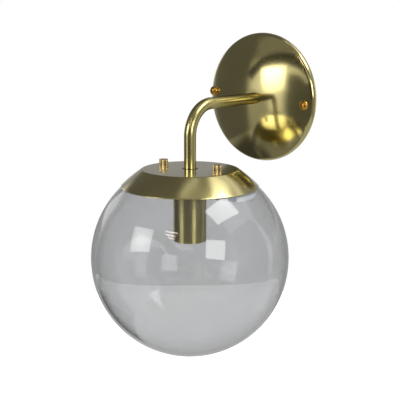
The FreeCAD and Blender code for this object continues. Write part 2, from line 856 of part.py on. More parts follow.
def lampholder_shell():
    """Screw shell that takes the lamp's cap, its thread drawn at its inner diameter."""
    shell_d = shell_bore_d + 2 * shell_wall
    return on_lamp_axis(ring(shell_d, shell_bore_d, shell_length, UP * shell_bottom_z))


def lampholder_contact():
    """Sprung centre contact, a bent strip under the insulating disc."""
    top = holder_joint_z
    low = top - contact_spring
    outline = [
        (-contact_heel, top), (-contact_root, top),
        (contact_bend, low + contact_t), (contact_tip, low + contact_t),
        (contact_tip, low), (contact_bend, low),
        (-contact_root, top - contact_t), (-contact_heel, top - contact_t),
    ]
    points = [Vector(x, -contact_width / 2, z) for x, z in outline]
    return on_lamp_axis(polygon_prism(points, Vector(0, contact_width, 0)))


# ---- write every sub-part ---------------------------------------------------

os.makedirs("parts", exist_ok=True)

save("canopy", canopy())
save("wall_bracket", wall_bracket())
save("canopy_screws", *canopy_screws())
save("wall_nipple", wall_nipple())
save("wall_washer", wall_washer())
save("wall_nut", wall_nut())
save("terminal_block", terminal_block())
save("terminal_block_screws", *block_screws())
save("earth_screw", earth_screw())
save("earth_lug", earth_lug())
save("earth_wire", earth_wire())
save("lamp_lead", lamp_lead())
save("lead_core_neutral", lead_core(block_poles()[1], -1))
save("lead_core_live", lead_core(block_poles()[2], 1))
save("arm_tube", arm_tube())
save("lampholder_nipple", lampholder_nipple())
save("clamp_bar", clamp_bar())
save("clamp_bar_pads", *bar_pads())
save("clamp_studs", *bar_studs())
save("clamp_stud_nuts", *stud_nuts())
save("gallery", gallery())
save("thumb_nut_left", thumb_nut(-1))
save("thumb_nut_right", thumb_nut(1))
save("globe", globe())
save("lampholder_cup", lampholder_cup())
save("cup_washer", cup_washer())
save("cup_nut", cup_nut())
save("lampholder_cap", lampholder_cap())
save("lampholder_base", lampholder_base())
save("lampholder_terminals", *lampholder_terminals())
save("lampholder_skirt", lampholder_skirt())
save("lampholder_shell", lampholder_shell())
save("lampholder_contact", lampholder_contact())
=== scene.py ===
import math

import bmesh
import bpy
from mathutils import Matrix, Quaternion, Vector


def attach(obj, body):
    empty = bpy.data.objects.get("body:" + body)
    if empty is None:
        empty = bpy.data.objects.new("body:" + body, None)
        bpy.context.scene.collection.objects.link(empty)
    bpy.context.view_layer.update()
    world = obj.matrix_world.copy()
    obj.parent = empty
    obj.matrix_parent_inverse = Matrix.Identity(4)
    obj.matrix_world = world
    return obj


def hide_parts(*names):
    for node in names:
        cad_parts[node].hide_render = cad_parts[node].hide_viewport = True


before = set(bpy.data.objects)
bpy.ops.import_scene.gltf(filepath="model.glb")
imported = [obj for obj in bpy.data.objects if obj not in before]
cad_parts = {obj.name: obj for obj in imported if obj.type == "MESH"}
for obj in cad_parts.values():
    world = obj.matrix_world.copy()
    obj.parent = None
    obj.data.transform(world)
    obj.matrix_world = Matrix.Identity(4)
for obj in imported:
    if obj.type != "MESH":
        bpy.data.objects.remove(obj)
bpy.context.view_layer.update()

# Globe wall sconce, in metres: origin on the wall behind the canopy, +Z up, -Y out of the wall.

mm = 0.001
turn = math.tau

# ---- sizes of the dressed pieces ------------------------------------------------

LAMP_AXIS = Vector((0, -120.3 * mm, 0))
GLOBE_CENTRE = Vector((0, -120.3 * mm, -154.012 * mm))
BAR_TURN = math.radians(6.5)
CANOPY_TURN = math.radians(3.8)

canopy_r, canopy_lip, canopy_shoulder, canopy_wall = 68.5 * mm, 1.5 * mm, 4.5 * mm, 1.0 * mm
dome_r, dome_centre = 157.786 * mm, -137.786 * mm
canopy_flat_r, canopy_hole_r = 9.0 * mm, 5.2 * mm
cover_screw_r, cover_hole_r, cover_seat = 60.3 * mm, 2.4 * mm, 10.04 * mm

arm_r, arm_bore, arm_bend = 6.0 * mm, 5.0 * mm, 31.2 * mm
arm_start, arm_reach, arm_end = 19.742 * mm, 120.3 * mm, -84.56 * mm
ARM_BEND_CENTRE = (0, arm_bend - arm_reach, -arm_bend)

gallery_top, gallery_wall = -62.9 * mm, 0.8 * mm
gallery_hole_r, gallery_flat_r, gallery_shoulder = 8.3 * mm, 47.4 * mm, 2.2 * mm
flank_centre, flank_end = (-34.92 * mm, -183.81 * mm), math.radians(45.07)

globe_r, globe_wall, mouth_r = 100.0 * mm, 3.0 * mm, 50.0 * mm

cup_r, cup_wall, cup_corner = 16.55 * mm, 0.8 * mm, 2.5 * mm
cup_top, cup_bottom, cup_hole_r = -86.56 * mm, -136.36 * mm, 5.2 * mm

stud_low, stud_high, stud_at, stud_hole_r = -91.1 * mm, -58.0 * mm, 32.5 * mm, 2.5 * mm
nut_r, nut_height, nut_roof = 4.6 * mm, 6.8 * mm, 1.6 * mm
nut_bore, nut_edge = 2.1 * mm, 0.45 * mm
knurls, knurl_depth = 26, 0.3 * mm

# Crest radius, root radius and pitch of each thread, then the pieces that carry them.
M4 = (2.0 * mm, 1.62 * mm, 0.7 * mm)
M10 = (4.94 * mm, 4.42 * mm, 1.0 * mm)
nipple_bore = 3.5 * mm
arm_nipple, holder_nipple = (12.64 * mm, 31.74 * mm), (-96.96 * mm, -72.56 * mm)
head_r, head_height, head_land, head_soft = 5.0 * mm, 4.0 * mm, 1.2 * mm, 0.35 * mm
slot_long, slot_wide, slot_deep, slot_taper = 2.5 * mm, 0.6 * mm, 1.8 * mm, 0.75

# How finely round things are cut, and a length too small to matter.
round_steps, cup_steps, screw_steps, shoulder_steps = 160, 96, 40, 8
hair = 0.001 * mm


# ---- node trees -----------------------------------------------------------------

def put(tree, kind, feeds=None, **settings):
    """Add a node, with its settings and what feeds its sockets: values, or other nodes' outputs."""
    node = tree.nodes.new("ShaderNode" + kind)
    for name, value in settings.items():
        setattr(node, name, value)
    for socket, source in (feeds or {}).items():
        if isinstance(source, bpy.types.NodeSocket):
            tree.links.new(source, node.inputs[socket])
        else:
            node.inputs[socket].default_value = source
    return node


def sums(tree, operation, first, second):
    return put(tree, "Math", {0: first, 1: second}, operation=operation).outputs[0]


def vectors(tree, operation, first, second=(0, 0, 0)):
    node = put(tree, "VectorMath", {0: first, 1: second}, operation=operation)
    return node.outputs["Value" if operation in ("LENGTH", "DOT_PRODUCT") else "Vector"]


def stretched(tree, value, low, high, start=0.0, end=1.0):
    """The value's run from start to end, clamped and laid out from low to high."""
    feeds = {"Value": value, "From Min": start, "From Max": end, "To Min": low, "To Max": high}
    return put(tree, "MapRange", feeds).outputs["Result"]


def blended(tree, factor, first, second):
    node = put(tree, "Mix", {"Factor": factor}, data_type="RGBA")
    for socket, colour in ((6, first), (7, second)):
        if isinstance(colour, bpy.types.NodeSocket):
            tree.links.new(colour, node.inputs[socket])
        else:
            node.inputs[socket].default_value = (*colour, 1)
    return node.outputs[2]


def mottle(tree, place, scale, detail=3.0, roughness=0.5):
    feeds = {"Vector": place, "Scale": scale, "Detail": detail, "Roughness": roughness}
    return put(tree, "TexNoise", feeds).outputs["Fac"]


def new_finish(name, **values):
    """A material with one shader; values are its own sockets, set and not linked."""
    finish = bpy.data.materials.new(name)
    finish.use_nodes = True
    tree = finish.node_tree
    shader = tree.nodes["Principled BSDF"]
    for socket, value in values.items():
        shader.inputs[socket.replace("_", " ")].default_value = value
    place = put(tree, "TexCoord").outputs["Object"]
    return finish, tree, shader, place


def link(tree, shader, **feeds):
    for socket, source in feeds.items():
        tree.links.new(source, shader.inputs[socket.replace("_", " ")])


def bumps(tree, height, strength, distance):
    feeds = {"Height": height, "Strength": strength, "Distance": distance}
    return put(tree, "Bump", feeds).outputs["Normal"]


# ---- finishes -------------------------------------------------------------------

BRASS_LIGHT = (0.60, 0.52, 0.215)
BRASS_DEEP = (0.52, 0.445, 0.175)
LACQUER = {"Coat_Weight": 1.0, "Coat_Roughness": 0.14, "Coat_IOR": 1.5}
RING_SCALE, DRIFT_SCALE, CLOUD_SCALE = 1500.0, 9.0, 34.0


def brass_tones(tree, place, grain, fine, rough, painted_lift=1.0):
    """The brass's colour and roughness: soft clouds, a little grain in the roughness, and the
    colour made lighter by a factor that stands in for light.
    """
    cloud = mottle(tree, place, CLOUD_SCALE)
    shade = blended(tree, cloud, [part * painted_lift for part in BRASS_DEEP],
                    [part * painted_lift for part in BRASS_LIGHT])
    tone = sums(tree, "ADD", stretched(tree, grain, -fine, fine),
                stretched(tree, cloud, rough - 0.02, rough + 0.02))
    return shade, tone


def spun_brass(name, centre, axis, smear, rough, painted_lift=1.0):
    """Lacquered satin brass with its grain in rings round a spinning axis."""
    finish, tree, shader, place = new_finish(
        name, Metallic=1.0, Anisotropic=smear, Anisotropic_Rotation=0.25, **LACQUER)
    arm = vectors(tree, "SUBTRACT", place, centre)
    height = vectors(tree, "DOT_PRODUCT", arm, axis)
    flat = vectors(tree, "MULTIPLY", arm, [1 - abs(part) for part in axis])
    radius = vectors(tree, "LENGTH", flat)
    rings = put(tree, "CombineXYZ", {
        "X": sums(tree, "MULTIPLY", radius, RING_SCALE),
        "Y": sums(tree, "MULTIPLY", height, RING_SCALE),
    }).outputs[0]
    drift = put(tree, "VectorMath", {0: place, "Scale": DRIFT_SCALE}, operation="SCALE").outputs[0]
    grain = mottle(tree, vectors(tree, "ADD", rings, drift), 1.0, 2.0)
    shade, tone = brass_tones(tree, place, grain, 0.015, rough, painted_lift)
    around = vectors(tree, "NORMALIZE", vectors(tree, "CROSS_PRODUCT", axis, flat))
    link(tree, shader, Base_Color=shade, Roughness=tone, Tangent=around,
         Normal=bumps(tree, grain, 0.01, 0.00004))
    return finish


def drawn_brass(name, smear, rough):
    """The same brass on the bent tube: a fine grain goes round it, so highlights run along it."""
    finish, tree, shader, place = new_finish(
        name, Metallic=1.0, Anisotropic=smear, Anisotropic_Rotation=0.0,
        Specular_Tint=(0.35, 0.31, 0.22, 1), **{**LACQUER, "Coat_Weight": 0.45})
    sheet = put(tree, "UVMap", uv_map="along").outputs["UV"]
    grain = mottle(tree, vectors(tree, "MULTIPLY", sheet, (900.0, 2.0, 1.0)), 1.0, 2.0)
    shade, tone = brass_tones(tree, place, grain, 0.006, rough)
    from_bend = vectors(tree, "SUBTRACT", place, ARM_BEND_CENTRE)
    spot = put(tree, "SeparateXYZ", {"Vector": from_bend}).outputs
    out = sums(tree, "MINIMUM", spot["Y"], 0.0)
    down = sums(tree, "MULTIPLY", sums(tree, "MAXIMUM", spot["Z"], 0.0), -1.0)
    along = vectors(tree, "NORMALIZE", put(tree, "CombineXYZ", {"Y": down, "Z": out}).outputs[0])
    link(tree, shader, Base_Color=shade, Roughness=tone, Tangent=along)
    return finish


def turned_metal(name, light, deep, rough):
    """Small turned or stamped metal parts: tone and polish vary a little over each."""
    finish, tree, shader, place = new_finish(name, Metallic=1.0)
    cloud = mottle(tree, place, 220.0, 4.0, 0.6)
    link(tree, shader, Base_Color=blended(tree, cloud, deep, light),
         Roughness=stretched(tree, cloud, rough + 0.08, rough - 0.05),
         Normal=bumps(tree, cloud, 0.06, 0.0001))
    return finish


def moulded(name, light, deep, rough, **values):
    """Moulded plastic, silicone or ceramic with a faint skin."""
    finish, tree, shader, place = new_finish(name, **values)
    cloud = mottle(tree, place, 400.0, 3.0, 0.55)
    link(tree, shader, Base_Color=blended(tree, cloud, deep, light),
         Roughness=stretched(tree, cloud, rough - 0.05, rough + 0.07),
         Normal=bumps(tree, cloud, 0.08, 0.0001))
    return finish


def blown_glass():
    """Glass tinted faintly grey, a painted shade for a dimmer backdrop seen through it; its faces
    are a little uneven, as blown glass is.
    """
    finish, tree, shader, place = new_finish(
        "Clear blown glass", Transmission_Weight=1.0, IOR=1.5)
    slow = mottle(tree, place, 16.0, 1.0)
    streaks = mottle(tree, vectors(tree, "MULTIPLY", place, (1.0, 1.0, 0.35)), 45.0, 2.0)
    # The grey base colour is painted shade that stands in for a dimmer backdrop seen through the
    # glass.
    link(tree, shader,
         Base_Color=blended(tree, slow, (0.655, 0.659, 0.663), (0.685, 0.689, 0.693)),
         Roughness=stretched(tree, streaks, 0.0, 0.012),
         Normal=bumps(tree, slow, 0.10, 0.002))
    return finish


def striped_core():
    """Green core insulation with yellow stripes along the wire."""
    finish, tree, shader, place = new_finish("Green and yellow core", Roughness=0.4)
    feeds = {"Vector": place, "Scale": 210.0, "Distortion": 0.6}
    stripe = put(tree, "TexWave", feeds, bands_direction="X").outputs["Fac"]
    mask = stretched(tree, stripe, 0.0, 1.0, 0.45, 0.55)
    link(tree, shader, Base_Color=blended(tree, mask, (0.04, 0.26, 0.06), (0.78, 0.62, 0.03)))
    return finish


canopy_brass = spun_brass("Canopy satin brass", (0, 0, 0), (0, 1, 0), 0.3, 0.14)
gallery_brass = spun_brass("Gallery satin brass", LAMP_AXIS, (0, 0, 1), 0.6, 0.21)
# This brass is painted 1.35 times lighter than the other brass, as painted light for the cup seen
# inside the glass.
cup_brass = spun_brass("Cup satin brass", LAMP_AXIS, (0, 0, 1), 1.0, 0.38, 1.35)
arm_brass = drawn_brass("Arm satin brass", 0.72, 0.21)
bright_brass = turned_metal("Bright brass", (0.74, 0.43, 0.09), (0.56, 0.30, 0.05), 0.2)
pale_brass = turned_metal("Pale turned brass", (0.62, 0.48, 0.24), (0.50, 0.37, 0.16), 0.28)
clear_glass = blown_glass()
zinc = turned_metal("Zinc plated steel", (0.66, 0.68, 0.70), (0.52, 0.54, 0.56), 0.32)
pad_silicone = moulded("Soft white silicone", (0.86, 0.89, 0.94), (0.78, 0.81, 0.86), 0.45)
block_plastic = moulded("White terminal plastic", (0.82, 0.82, 0.79), (0.74, 0.74, 0.71), 0.38)
holder_plastic = moulded("White lampholder moulding", (0.80, 0.79, 0.76), (0.72, 0.71, 0.68), 0.32)
sheath = moulded("Clear cable sheath", (0.86, 0.86, 0.84), (0.78, 0.78, 0.75), 0.25,
                 Transmission_Weight=0.45, IOR=1.45)
core_brown = moulded("Brown core", (0.16, 0.06, 0.03), (0.11, 0.04, 0.02), 0.4)
core_blue = moulded("Blue core", (0.04, 0.14, 0.42), (0.03, 0.10, 0.33), 0.4)
core_green_yellow = striped_core()


# ---- making and placing pieces --------------------------------------------------

def only(kind, items):
    """The items of one kind, among what an operator made."""
    return [item for item in items if isinstance(item, kind)]


def new_object(name, bm):
    """An object in the scene that takes the bmesh's shape, which is then freed."""
    mesh = bpy.data.meshes.new(name)
    bm.to_mesh(mesh)
    bm.free()
    thing = bpy.data.objects.new(name, mesh)
    bpy.context.scene.collection.objects.link(thing)
    return thing


def pen_turn(bm, tip, centre, angle, steps):
    """Carry the outline on round a centre in the XZ plane; positive turns from +Z towards +X."""
    made = bmesh.ops.spin(bm, geom=[tip], cent=(centre[0], 0, centre[1]), axis=(0, 1, 0),
                          angle=angle, steps=steps)
    return only(bmesh.types.BMVert, made["geom_last"])[0]


def pen_run(bm, tip, x, z):
    """Carry the outline on in a straight line."""
    made = bmesh.ops.extrude_vert_indiv(bm, verts=[tip])
    made["verts"][0].co = (x, 0, z)
    return made["verts"][0]


def spin_whole(bm, steps):
    """Turn the outline once round Z into a closed skin that points outwards."""
    bmesh.ops.spin(bm, geom=bm.verts[:] + bm.edges[:], cent=(0, 0, 0), axis=(0, 0, 1),
                   angle=turn, steps=steps, use_merge=True)
    bmesh.ops.remove_doubles(bm, verts=bm.verts, dist=0.002 * mm)
    bmesh.ops.recalc_face_normals(bm, faces=bm.faces)


def shown(name, bm, finish, body, nodes, sharp=30.0):
    """Make a piece of the model from a bmesh."""
    piece = new_object(name, bm)
    piece.data.shade_smooth()
    piece.data.set_sharp_from_angle(angle=math.radians(sharp))
    piece.data.materials.append(finish)
    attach(piece, body)
    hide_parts(*nodes)
    return piece


def bored(bm, cutters):
    """The bmesh with the cutters' shapes taken out of it."""
    things = [new_object("cut", part) for part in [bm] + cutters]
    meshes = [thing.data for thing in things]
    for cutter in things[1:]:
        cut = things[0].modifiers.new("cut", "BOOLEAN")
        cut.operation = "DIFFERENCE"
        cut.solver = "EXACT"
        cut.object = cutter
    result = bmesh.new()
    result.from_object(things[0], bpy.context.evaluated_depsgraph_get())
    for thing in things:
        bpy.data.objects.remove(thing)
    for mesh in meshes:
        bpy.data.meshes.remove(mesh)
    return result


def drill(radius, low, high, at):
    """A cylinder standing on Z from low to high."""
    bm = bmesh.new()
    middle = Matrix.Translation((at[0], at[1], (low + high) / 2))
    bmesh.ops.create_cone(bm, cap_ends=True, segments=48, radius1=radius, radius2=radius,
                          depth=high - low, matrix=middle)
    return bm


def out_of_wall(bm, angle=0.0):
    """Lay what was made on Z along -Y, then turn it about the canopy's axis."""
    lay = Matrix.Rotation(angle, 4, "Y") @ Matrix.Rotation(math.pi / 2, 4, "X")
    bmesh.ops.transform(bm, matrix=lay, verts=bm.verts)


def on_lamp_axis(bm, angle=0.0):
    """Turn what was made on Z, then stand it on the axis of the globe."""
    place = Matrix.Translation(LAMP_AXIS) @ Matrix.Rotation(angle, 4, "Z")
    bmesh.ops.transform(bm, matrix=place, verts=bm.verts)


# ---- canopy ---------------------------------------------------------------------

def canopy_skin(bm, inset):
    """The dome's outline from the middle hole to the open back, moved in by inset: its ends."""
    reach = dome_r - inset
    flat_z = dome_centre + math.sqrt(dome_r ** 2 - canopy_flat_r ** 2) - inset
    start = math.acos((flat_z - dome_centre) / reach)
    shoulder = (canopy_r - canopy_shoulder, canopy_lip)
    end = math.atan2(shoulder[0], shoulder[1] - dome_centre)
    hole = bm.verts.new((canopy_hole_r, 0, flat_z))
    tip = pen_run(bm, hole, reach * math.sin(start), flat_z)
    tip = pen_turn(bm, tip, (0, dome_centre), end - start, 40)
    tip = pen_turn(bm, tip, shoulder, math.pi / 2 - end, shoulder_steps)
    return hole, pen_run(bm, tip, canopy_r - inset, 0)


def canopy():
    bm = bmesh.new()
    ends = [canopy_skin(bm, inset) for inset in (0, canopy_wall)]
    bm.edges.new((ends[0][0], ends[1][0]))
    bm.edges.new((ends[0][1], ends[1][1]))
    spin_whole(bm, round_steps)
    holes = [drill(cover_hole_r, -mm, 30 * mm, (side * cover_screw_r, 0)) for side in (-1, 1)]
    bm = bored(bm, holes)
    out_of_wall(bm, CANOPY_TURN)
    shown("canopy_dome", bm, canopy_brass, "wall_body", ["canopy"])


canopy()


# ---- arm ------------------------------------------------------------------------

def arm_place(point):
    """How far along the tube a point lies, and which way round it."""
    straight = arm_reach - arm_bend
    bend_y, bend_z = -straight, -arm_bend
    if point.y > bend_y:
        return -point.y, math.atan2(point.x, point.z)
    if point.z < bend_z:
        along = straight + arm_bend * math.pi / 2 + bend_z - point.z
        return along, math.atan2(point.x, -arm_reach - point.y)
    angle = math.atan2(bend_y - point.y, point.z - bend_z)
    out = math.hypot(bend_y - point.y, point.z - bend_z) - arm_bend
    return straight + arm_bend * angle, math.atan2(point.x, out)


def wrapped(bm, name, place):
    """A UV map from how far along and how far round each corner is, with no torn faces."""
    layer = bm.loops.layers.uv.new(name)
    for face in bm.faces:
        home = None
        for loop in face.loops:
            along, angle = place(loop.vert.co)
            home = angle if home is None else home
            angle += turn * round((home - angle) / turn)
            loop[layer].uv = (along, angle / turn)


def arm():
    """The tube's outer and inner skins, each run out, bent down and run on, joined at both ends."""
    bm = bmesh.new()
    rims = []
    for radius in (arm_r, arm_bore):
        stand = Matrix.Translation((0, -arm_start, 0)) @ Matrix.Rotation(math.pi / 2, 4, "X")
        loop = bmesh.ops.create_circle(bm, segments=56, radius=radius, matrix=stand)["verts"]
        first = list({edge for vert in loop for edge in vert.link_edges})
        run = bmesh.ops.extrude_edge_only(bm, edges=first)["geom"]
        moved = only(bmesh.types.BMVert, run)
        bmesh.ops.translate(bm, verts=moved, vec=(0, arm_start + arm_bend - arm_reach, 0))
        edges = only(bmesh.types.BMEdge, run)
        bend = bmesh.ops.spin(bm, geom=moved + edges, cent=ARM_BEND_CENTRE,
                              axis=(1, 0, 0), angle=math.pi / 2, steps=36)["geom_last"]
        run = bmesh.ops.extrude_edge_only(bm, edges=only(bmesh.types.BMEdge, bend))["geom"]
        moved = only(bmesh.types.BMVert, run)
        bmesh.ops.translate(bm, verts=moved, vec=(0, 0, arm_end + arm_bend))
        rims.append((first, only(bmesh.types.BMEdge, run)))
    for end in (0, 1):
        bmesh.ops.bridge_loops(bm, edges=rims[0][end] + rims[1][end])
    bmesh.ops.recalc_face_normals(bm, faces=bm.faces)
    wrapped(bm, "along", arm_place)
    shown("arm", bm, arm_brass, "wall_body", ["arm_tube"])


arm()


# ---- gallery --------------------------------------------------------------------

def gallery():
    """Flat top, rounded shoulder and curved flank, with a half-round bead at the rim."""
    bm = bmesh.new()
    shoulder = (gallery_flat_r, gallery_top - gallery_wall - gallery_shoulder)
    meet = math.atan2(shoulder[0] - flank_centre[0], shoulder[1] - flank_centre[1])
    holes = []
    rims = []
    for offset in (gallery_wall, 0):
        hole = bm.verts.new((gallery_hole_r, 0, gallery_top - gallery_wall + offset))
        tip = pen_run(bm, hole, gallery_flat_r, hole.co.z)
        tip = pen_turn(bm, tip, shoulder, meet, shoulder_steps)
        tip = pen_turn(bm, tip, flank_centre, flank_end - meet, 24)
        holes.append(hole)
        rims.append(tip)
    bm.edges.new(holes)
    middle = (rims[0].co + rims[1].co) / 2
    bead = pen_turn(bm, rims[0], (middle.x, middle.z), math.pi, 6)
    bmesh.ops.pointmerge(bm, verts=[bead, rims[1]], merge_co=rims[1].co)
    spin_whole(bm, round_steps)
    drills = []
    for side in (-1, 1):
        at = (side * stud_at * math.cos(BAR_TURN), side * stud_at * math.sin(BAR_TURN))
        drills.append(drill(stud_hole_r, gallery_top - 2 * mm, gallery_top + mm, at))
    bm = bored(bm, drills)
    on_lamp_axis(bm)
    shown("gallery_cap", bm, gallery_brass, "gallery_cap", ["gallery"])


gallery()


# ---- globe ----------------------------------------------------------------------

def globe():
    """One glass wall, fire-rounded at its mouth."""
    bm = bmesh.new()
    lip_r = globe_wall / 2
    middle = globe_r - lip_r
    mouth = math.asin((mouth_r + lip_r) / middle)
    centre = (0, GLOBE_CENTRE.z)
    inner_r = globe_r - globe_wall
    start = bm.verts.new((inner_r * math.sin(mouth), 0, centre[1] + inner_r * math.cos(mouth)))
    lip = (middle * math.sin(mouth), centre[1] + middle * math.cos(mouth))
    top = pen_turn(bm, start, lip, math.pi, 10)
    pen_turn(bm, top, centre, math.pi - mouth, 80)
    pen_turn(bm, start, centre, math.pi - mouth, 80)
    for vert in bm.verts:
        if abs(vert.co.x) < hair:
            vert.co.x = 0
    spin_whole(bm, round_steps)
    on_lamp_axis(bm)
    piece = shown("glass_globe", bm, clear_glass, "wall_body", ["globe"], sharp=60.0)
    piece.visible_shadow = False


globe()


# ---- lampholder cup -------------------------------------------------------------

def cup():
    """A drawn cup with a rounded top edge, open below."""
    bm = bmesh.new()
    corner = (cup_r - cup_corner, cup_top - cup_corner)
    holes = []
    feet = []
    for offset in (0, cup_wall):
        hole = bm.verts.new((cup_hole_r, 0, cup_top - offset))
        tip = pen_run(bm, hole, corner[0], cup_top - offset)
        tip = pen_turn(bm, tip, corner, math.pi / 2, shoulder_steps)
        holes.append(hole)
        feet.append(pen_run(bm, tip, cup_r - offset, cup_bottom))
    bm.edges.new(holes)
    bm.edges.new(feet)
    spin_whole(bm, cup_steps)
    on_lamp_axis(bm)
    shown("lampholder_cup_dressed", bm, cup_brass, "wall_body",
          ["lampholder_cup"])


cup()


# ---- thumb nuts -----------------------------------------------------------------

def thumb_nut(side, body, node):
    """A blind nut, knurled all round, with a rounded top edge and a bore from below."""
    bm = bmesh.new()
    foot = bmesh.ops.create_circle(bm, cap_ends=True, segments=2 * knurls, radius=nut_r)["verts"]
    for vert in foot:
        around = math.atan2(vert.co.y, vert.co.x) * knurls / math.pi
        if round(around) % 2:
            vert.co *= (nut_r - knurl_depth) / nut_r
    base = bm.faces[:]
    raised = bmesh.ops.extrude_face_region(bm, geom=base)["geom"]
    top = only(bmesh.types.BMVert, raised)
    bmesh.ops.translate(bm, verts=top, vec=(0, 0, nut_height))
    rim = [edge for edge in bm.edges if all(vert in top for vert in edge.verts)]
    bmesh.ops.bevel(bm, geom=rim, offset=nut_edge, segments=3, profile=0.5, affect="EDGES",
                    material=-1)
    low = [face for face in bm.faces if all(vert.co.z < hair for vert in face.verts)]
    bmesh.ops.inset_region(bm, faces=low, thickness=nut_r - nut_bore)
    for vert in low[0].verts:
        vert.co = vert.co.normalized() * nut_bore
    hollow = bmesh.ops.extrude_face_region(bm, geom=low)["geom"]
    roof = only(bmesh.types.BMVert, hollow)
    bmesh.ops.translate(bm, verts=roof, vec=(0, 0, nut_height - nut_roof))
    bmesh.ops.delete(bm, geom=low, context="FACES_ONLY")
    bmesh.ops.recalc_face_normals(bm, faces=bm.faces)
    bmesh.ops.translate(bm, verts=bm.verts, vec=(side * stud_at, 0, gallery_top))
    on_lamp_axis(bm, BAR_TURN)
    shown(body + "_knurled", bm, pale_brass, body, [node], sharp=25.0)


thumb_nut(-1, "nut_left", "thumb_nut_left")
thumb_nut(1, "nut_right", "thumb_nut_right")


# ---- threaded pieces ------------------------------------------------------------

def threaded(thread, low, high, steps=24):
    """A rod on Z with a real helical thread, cut square at both ends."""
    radius, root, pitch = thread
    bm = bmesh.new()
    start = low - pitch
    profile = [(root, 0), (radius, 0.38), (radius, 0.5), (root, 0.88), (root, 1)]
    corners = [bm.verts.new((reach, 0, start + rise * pitch)) for reach, rise in profile]
    for pair in zip(corners, corners[1:]):
        bm.edges.new(pair)
    turns = math.ceil((high - low) / pitch) + 2
    bmesh.ops.spin(bm, geom=bm.verts[:] + bm.edges[:], cent=(0, 0, 0), axis=(0, 0, 1),
                   dvec=(0, 0, pitch / steps), angle=turn * turns, steps=steps * turns)
    bmesh.ops.remove_doubles(bm, verts=bm.verts, dist=5 * hair)
    for level, side in ((high, 1), (low, -1)):
        bmesh.ops.bisect_plane(bm, geom=bm.verts[:] + bm.edges[:] + bm.faces[:], dist=hair / 2,
                               plane_co=(0, 0, level), plane_no=(0, 0, side), clear_outer=True)
    bmesh.ops.holes_fill(bm, edges=bm.edges[:], sides=0)
    bmesh.ops.recalc_face_normals(bm, faces=bm.faces)
    return bm


def together(*parts):
    """One bmesh that holds several closed parts."""
    whole = bmesh.new()
    for part in parts:
        mesh = bpy.data.meshes.new("part")
        part.to_mesh(mesh)
        part.free()
        whole.from_mesh(mesh)
        bpy.data.meshes.remove(mesh)
    return whole


def clamp_studs():
    studs = []
    for side in (-1, 1):
        bm = threaded(M4, stud_low, stud_high)
        bmesh.ops.translate(bm, verts=bm.verts, vec=(side * stud_at, 0, 0))
        studs.append(bm)
    bm = together(*studs)
    on_lamp_axis(bm, BAR_TURN)
    shown("clamp_studs_threaded", bm, zinc, "wall_body", ["clamp_studs"])


def nipple(name, node, span, lie):
    """Hollow M10 nipple over a span of its axis; lie puts it in its place."""
    low, high = span
    bm = threaded(M10, low, high, 48)
    bm = bored(bm, [drill(nipple_bore, low - mm, high + mm, (0, 0))])
    lie(bm)
    shown(name, bm, zinc, "wall_body", [node])


def screw_head():
    """A domed head on Z, with a cross slot that narrows as it goes down."""
    crown = (head_r ** 2 + (head_height - head_land) ** 2) / (2 * (head_height - head_land))
    top = cover_seat + head_height
    bm = bmesh.new()
    tip = bm.verts.new((0, 0, top))
    tip = pen_turn(bm, tip, (0, top - crown), math.asin((head_r - head_soft) / crown), 10)
    tip = pen_run(bm, tip, head_r, cover_seat + head_land - head_soft)
    tip = pen_run(bm, tip, head_r, cover_seat)
    pen_run(bm, tip, 0, cover_seat)
    spin_whole(bm, screw_steps)
    slots = []
    for long, wide in ((slot_long, slot_wide), (slot_wide, slot_long)):
        slot = bmesh.new()
        bmesh.ops.create_cube(slot, size=2.0)
        bmesh.ops.scale(slot, vec=(long, wide, slot_deep), verts=slot.verts)
        deep = [vert for vert in slot.verts if vert.co.z < 0]
        bmesh.ops.scale(slot, vec=(slot_taper, slot_taper, 1), verts=deep)
        bmesh.ops.translate(slot, verts=slot.verts, vec=(0, 0, top))
        slots.append(slot)
    return bored(bm, slots)


def canopy_screws():
    """Domed cross-slot heads on threaded shanks."""
    screws = []
    for side in (-1, 1):
        bm = together(screw_head(), threaded(M4, mm, cover_seat + 0.2 * mm))
        bmesh.ops.translate(bm, verts=bm.verts, vec=(side * cover_screw_r, 0, 0))
        screws.append(bm)
    bm = together(*screws)
    out_of_wall(bm, CANOPY_TURN)
    shown("canopy_screw_pair", bm, bright_brass, "wall_body", ["canopy_screws"])


clamp_studs()
nipple("arm_nipple_threaded", "wall_nipple", arm_nipple, out_of_wall)
nipple("holder_nipple_threaded", "lampholder_nipple", holder_nipple, on_lamp_axis)
canopy_screws()


# ---- finishes of the pieces that keep their CAD shape ---------------------------

finish_of_slot = {
    "satin_brass": cup_brass,
    "bright_brass": bright_brass,
    "clear_glass": clear_glass,
    "zinc_steel": zinc,
    "soft_white": pad_silicone,
    "block_white": block_plastic,
    "holder_white": holder_plastic,
    "sheath_clear": sheath,
    "core_brown": core_brown,
    "core_blue": core_blue,
    "core_green_yellow": core_green_yellow,
}
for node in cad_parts.values():
    for place in node.material_slots:
        if place.material and place.material.name in finish_of_slot:
            place.material = finish_of_slot[place.material.name]


# ---- stage: floor, reflection cards, lamps, camera and world --------------------

def seen_rays(tree):
    """One for camera rays, mirrored rays and rays through glass; nought for the rest."""
    path = put(tree, "LightPath").outputs
    straight = sums(tree, "MAXIMUM", path["Is Camera Ray"], path["Is Glossy Ray"])
    return sums(tree, "MAXIMUM", straight, path["Is Transmission Ray"])


def bare_paint(name):
    """A material with no nodes yet, which glows without being sampled as a lamp."""
    paint = bpy.data.materials.new(name)
    paint.use_nodes = True
    paint.node_tree.nodes.clear()
    paint.cycles.emission_sampling = "NONE"
    return paint, paint.node_tree


def direction(azimuth, elevation):
    """Unit vector: azimuth from -Y towards +X, elevation above level."""
    a, e = math.radians(azimuth), math.radians(elevation)
    return Vector((math.sin(a) * math.cos(e), -math.cos(a) * math.cos(e), math.sin(e)))


FLOOR_Z, FLOOR_R = -1.1, 2.93
FLOOR_GREY = (0.36, 0.36, 0.36, 1)


